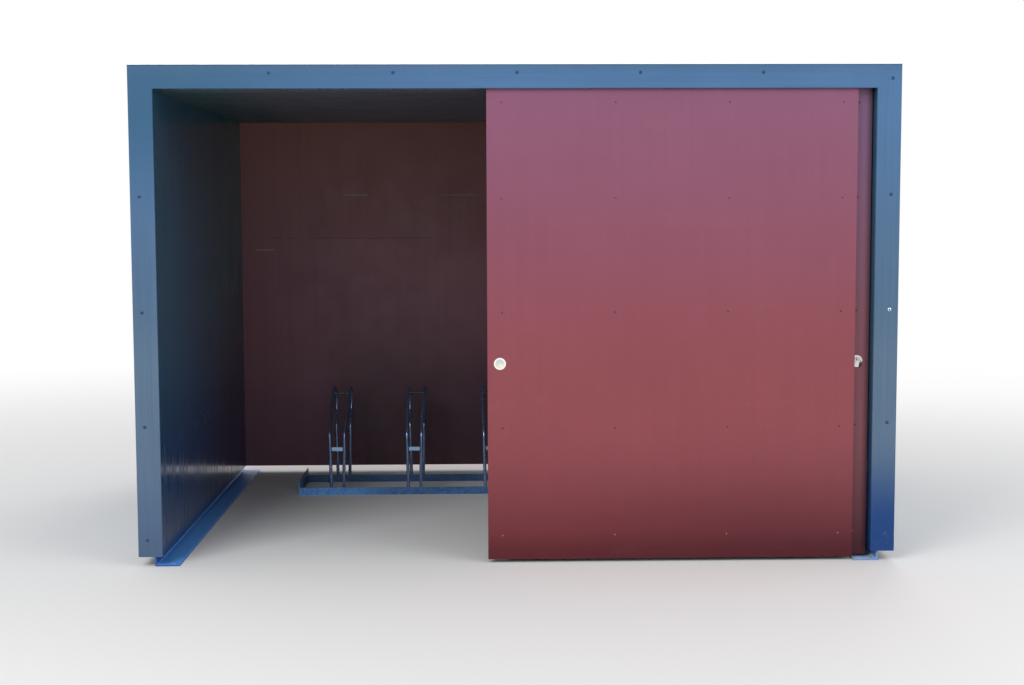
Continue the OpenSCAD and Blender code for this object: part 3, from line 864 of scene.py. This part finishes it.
def add_lock_lever(finishes):
    """The small lever beside the cylinder and its rivet; the lever's dark tone and breadth stand
    for the lever and also for the painted shade it casts on the rose.
    """
    low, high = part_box("inner_door_lock")
    middle = Vector(((low.x + high.x) / 2, high.y - ROSE_FLOOR, (low.z + high.z) / 2))
    r = LEVER_WIDTH / 2
    outline = []
    for end, start in ((LEVER_LENGTH / 2, 0), (-LEVER_LENGTH / 2, math.pi)):
        for k in range(LEVER_ROUND_STEPS + 1):
            angle = start + math.pi * k / LEVER_ROUND_STEPS
            outline.append((r * math.cos(angle), end + r * math.sin(angle)))
    bm = bmesh.new()
    layers = []
    for depth, grow in LEVER_LAYERS:
        tall = 1 - (1 - grow) * LEVER_END_BEVEL
        layers.append([bm.verts.new((x * grow, -depth, z * tall)) for x, z in outline])
    join(bm, layers)
    bm.faces.new(layers[0])
    bm.faces.new(list(reversed(layers[-1])))
    place = Matrix.Translation(middle + Vector((LEVER_SIDE, 0, -LEVER_DROP)))
    bm.transform(place @ Matrix.Rotation(LEVER_LEAN, 4, "Y"))
    piece("lock_lever", bm, "inner_door", finishes["lever_dark"])
    bm = bmesh.new()
    up = Vector((math.sin(LEVER_LEAN), 0, math.cos(LEVER_LEAN))) * LEVER_LENGTH / 2
    top = middle + Vector((LEVER_SIDE, -LEVER_THICK, -LEVER_DROP)) + up
    pan_head(bm, top, FRONT, RIVET_HEAD, RIVET_RISE)
    piece("lock_lever_rivet", bm, "inner_door", finishes["screw_bare"])


def add_welds(finishes):
    """A bead of weld round the foot of each hoop leg."""
    bm = bmesh.new()
    for node in hoops():
        low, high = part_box(node)
        middle = (low + high) / 2
        feet = [v.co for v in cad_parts[node].data.vertices if v.co.z < low.z + FOOT_SLICE]
        for side in (-1, 1):
            for end in (-1, 1):
                near = [p for p in feet
                        if (p.x - middle.x) * side > 0 and (p.y - middle.y) * end > 0]
                xs = [p.x for p in near]
                ys = [p.y for p in near]
                bead(bm, Vector(((min(xs) + max(xs)) / 2, (min(ys) + max(ys)) / 2, low.z)))
    piece("rack_welds", bm, "shelter", finishes["zinc"])


def bead(bm, at):
    """One ring of weld with the small humps of its ripples."""
    loops = []
    for k in range(WELD_AROUND):
        angle = 2 * math.pi * k / WELD_AROUND
        fat = WELD_BEAD * (1 + WELD_SWING * math.cos(WELD_HUMPS * angle))
        loop = []
        for j in range(WELD_ACROSS):
            tilt = 2 * math.pi * j / WELD_ACROSS
            point = polar(WELD_RING + fat * math.cos(tilt), angle, fat * math.sin(tilt))
            loop.append(bm.verts.new(at + point))
        loops.append(loop)
    join(bm, loops + loops[:1])


# Stage, lights and camera

def background_rays(tree):
    """1 for rays that show the background: to the camera, in a reflection or through glass."""
    rays = tree.nodes.new("ShaderNodeLightPath")
    share = rays.outputs["Is Camera Ray"]
    for name in ("Is Glossy Ray", "Is Transmission Ray"):
        either = tree.nodes.new("ShaderNodeMath")
        either.operation = "MAXIMUM"
        tree.links.new(share, either.inputs[0])
        tree.links.new(rays.outputs[name], either.inputs[1])
        share = either.outputs[0]
    return share


def add_floor():
    """A pale floor that keeps the shadow near the object and fades to white further out."""
    bm = bmesh.new()
    bmesh.ops.create_circle(bm, cap_ends=True, radius=FLOOR_RADIUS, segments=FLOOR_SIDES)
    data = bpy.data.meshes.new("floor")
    bm.to_mesh(data)
    bm.free()
    floor = bpy.data.objects.new("floor", data)
    bpy.context.scene.collection.objects.link(floor)
    f = Finish("floor", 0.9)
    f.set("Base Color", paint(240, 240, 240))
    f.set("Specular IOR Level", 0.0)
    seen = f.node("ShaderNodeMixShader")
    f.feed(seen.inputs[0], f.step(f.length(f.place), FADE_START, FADE_END))
    f.feed(seen.inputs[1], f.shader.outputs[0])
    f.feed(seen.inputs[2], f.node("ShaderNodeEmission").outputs[0])
    dim = f.node("ShaderNodeBsdfDiffuse")
    dim.inputs["Color"].default_value = paint(205, 205, 205)
    choice = f.node("ShaderNodeMixShader")
    f.feed(choice.inputs[0], background_rays(f.tree))
    f.feed(choice.inputs[1], dim.outputs[0])
    f.feed(choice.inputs[2], seen.outputs[0])
    f.feed(f.tree.nodes["Material Output"].inputs["Surface"], choice.outputs[0])
    data.materials.append(f.material)


def add_world():
    """White to the camera and in reflections, and a softer grey as light."""
    world = bpy.data.worlds.new("studio")
    bpy.context.scene.world = world
    world.use_nodes = True
    tree = world.node_tree
    light = tree.nodes["Background"]
    light.inputs["Color"].default_value = WHITE
    light.inputs["Strength"].default_value = WORLD_LIGHT
    seen = tree.nodes.new("ShaderNodeBackground")
    seen.inputs["Color"].default_value = WHITE
    seen.inputs["Strength"].default_value = 1.0
    mix = tree.nodes.new("ShaderNodeMixShader")
    tree.links.new(background_rays(tree), mix.inputs[0])
    tree.links.new(light.outputs[0], mix.inputs[1])
    tree.links.new(seen.outputs[0], mix.inputs[2])
    tree.links.new(mix.outputs[0], tree.nodes["World Output"].inputs["Surface"])


def add_lamp(name, place, power):
    """A square softbox that faces the middle of the shelter."""
    data = bpy.data.lights.new(name, "AREA")
    data.shape = "SQUARE"
    data.size = LAMP_SIZE
    data.energy = power
    lamp = bpy.data.objects.new(name, data)
    lamp.location = place
    lamp.rotation_euler = (LAMP_AIM - Vector(place)).to_track_quat("-Z", "Y").to_euler()
    bpy.context.scene.collection.objects.link(lamp)


def add_camera():
    """The camera as it stood, turned by its yaw, then its pitch, then its roll."""
    ahead_level = Vector((-math.sin(CAMERA_YAW), math.cos(CAMERA_YAW), 0))
    right = Vector((math.cos(CAMERA_YAW), math.sin(CAMERA_YAW), 0))
    up_level = Vector((0, 0, 1))
    ahead = ahead_level * math.cos(CAMERA_PITCH) + up_level * math.sin(CAMERA_PITCH)
    up = up_level * math.cos(CAMERA_PITCH) - ahead_level * math.sin(CAMERA_PITCH)
    rolled_right = right * math.cos(CAMERA_ROLL) - up * math.sin(CAMERA_ROLL)
    rolled_up = right * math.sin(CAMERA_ROLL) + up * math.cos(CAMERA_ROLL)
    data = bpy.data.cameras.new("camera")
    data.sensor_fit = "HORIZONTAL"
    data.sensor_width = SENSOR_WIDTH
    data.lens = FOCAL_PIXELS / PHOTO_WIDTH * SENSOR_WIDTH
    camera = bpy.data.objects.new("camera", data)
    turn = Matrix((rolled_right, rolled_up, -ahead)).transposed()
    camera.matrix_world = Matrix.Translation(CAMERA_PLACE) @ turn.to_4x4()
    bpy.context.scene.collection.objects.link(camera)
    bpy.context.scene.camera = camera


add_camera()
add_floor()
add_world()
for name, (place, power) in LAMPS.items():
    add_lamp(name, place, power)
bpy.context.scene.view_settings.view_transform = "Standard"

finishes = make_finishes()
dress_all(finishes)
add_screws(finishes)
add_lock_lever(finishes)
add_welds(finishes)
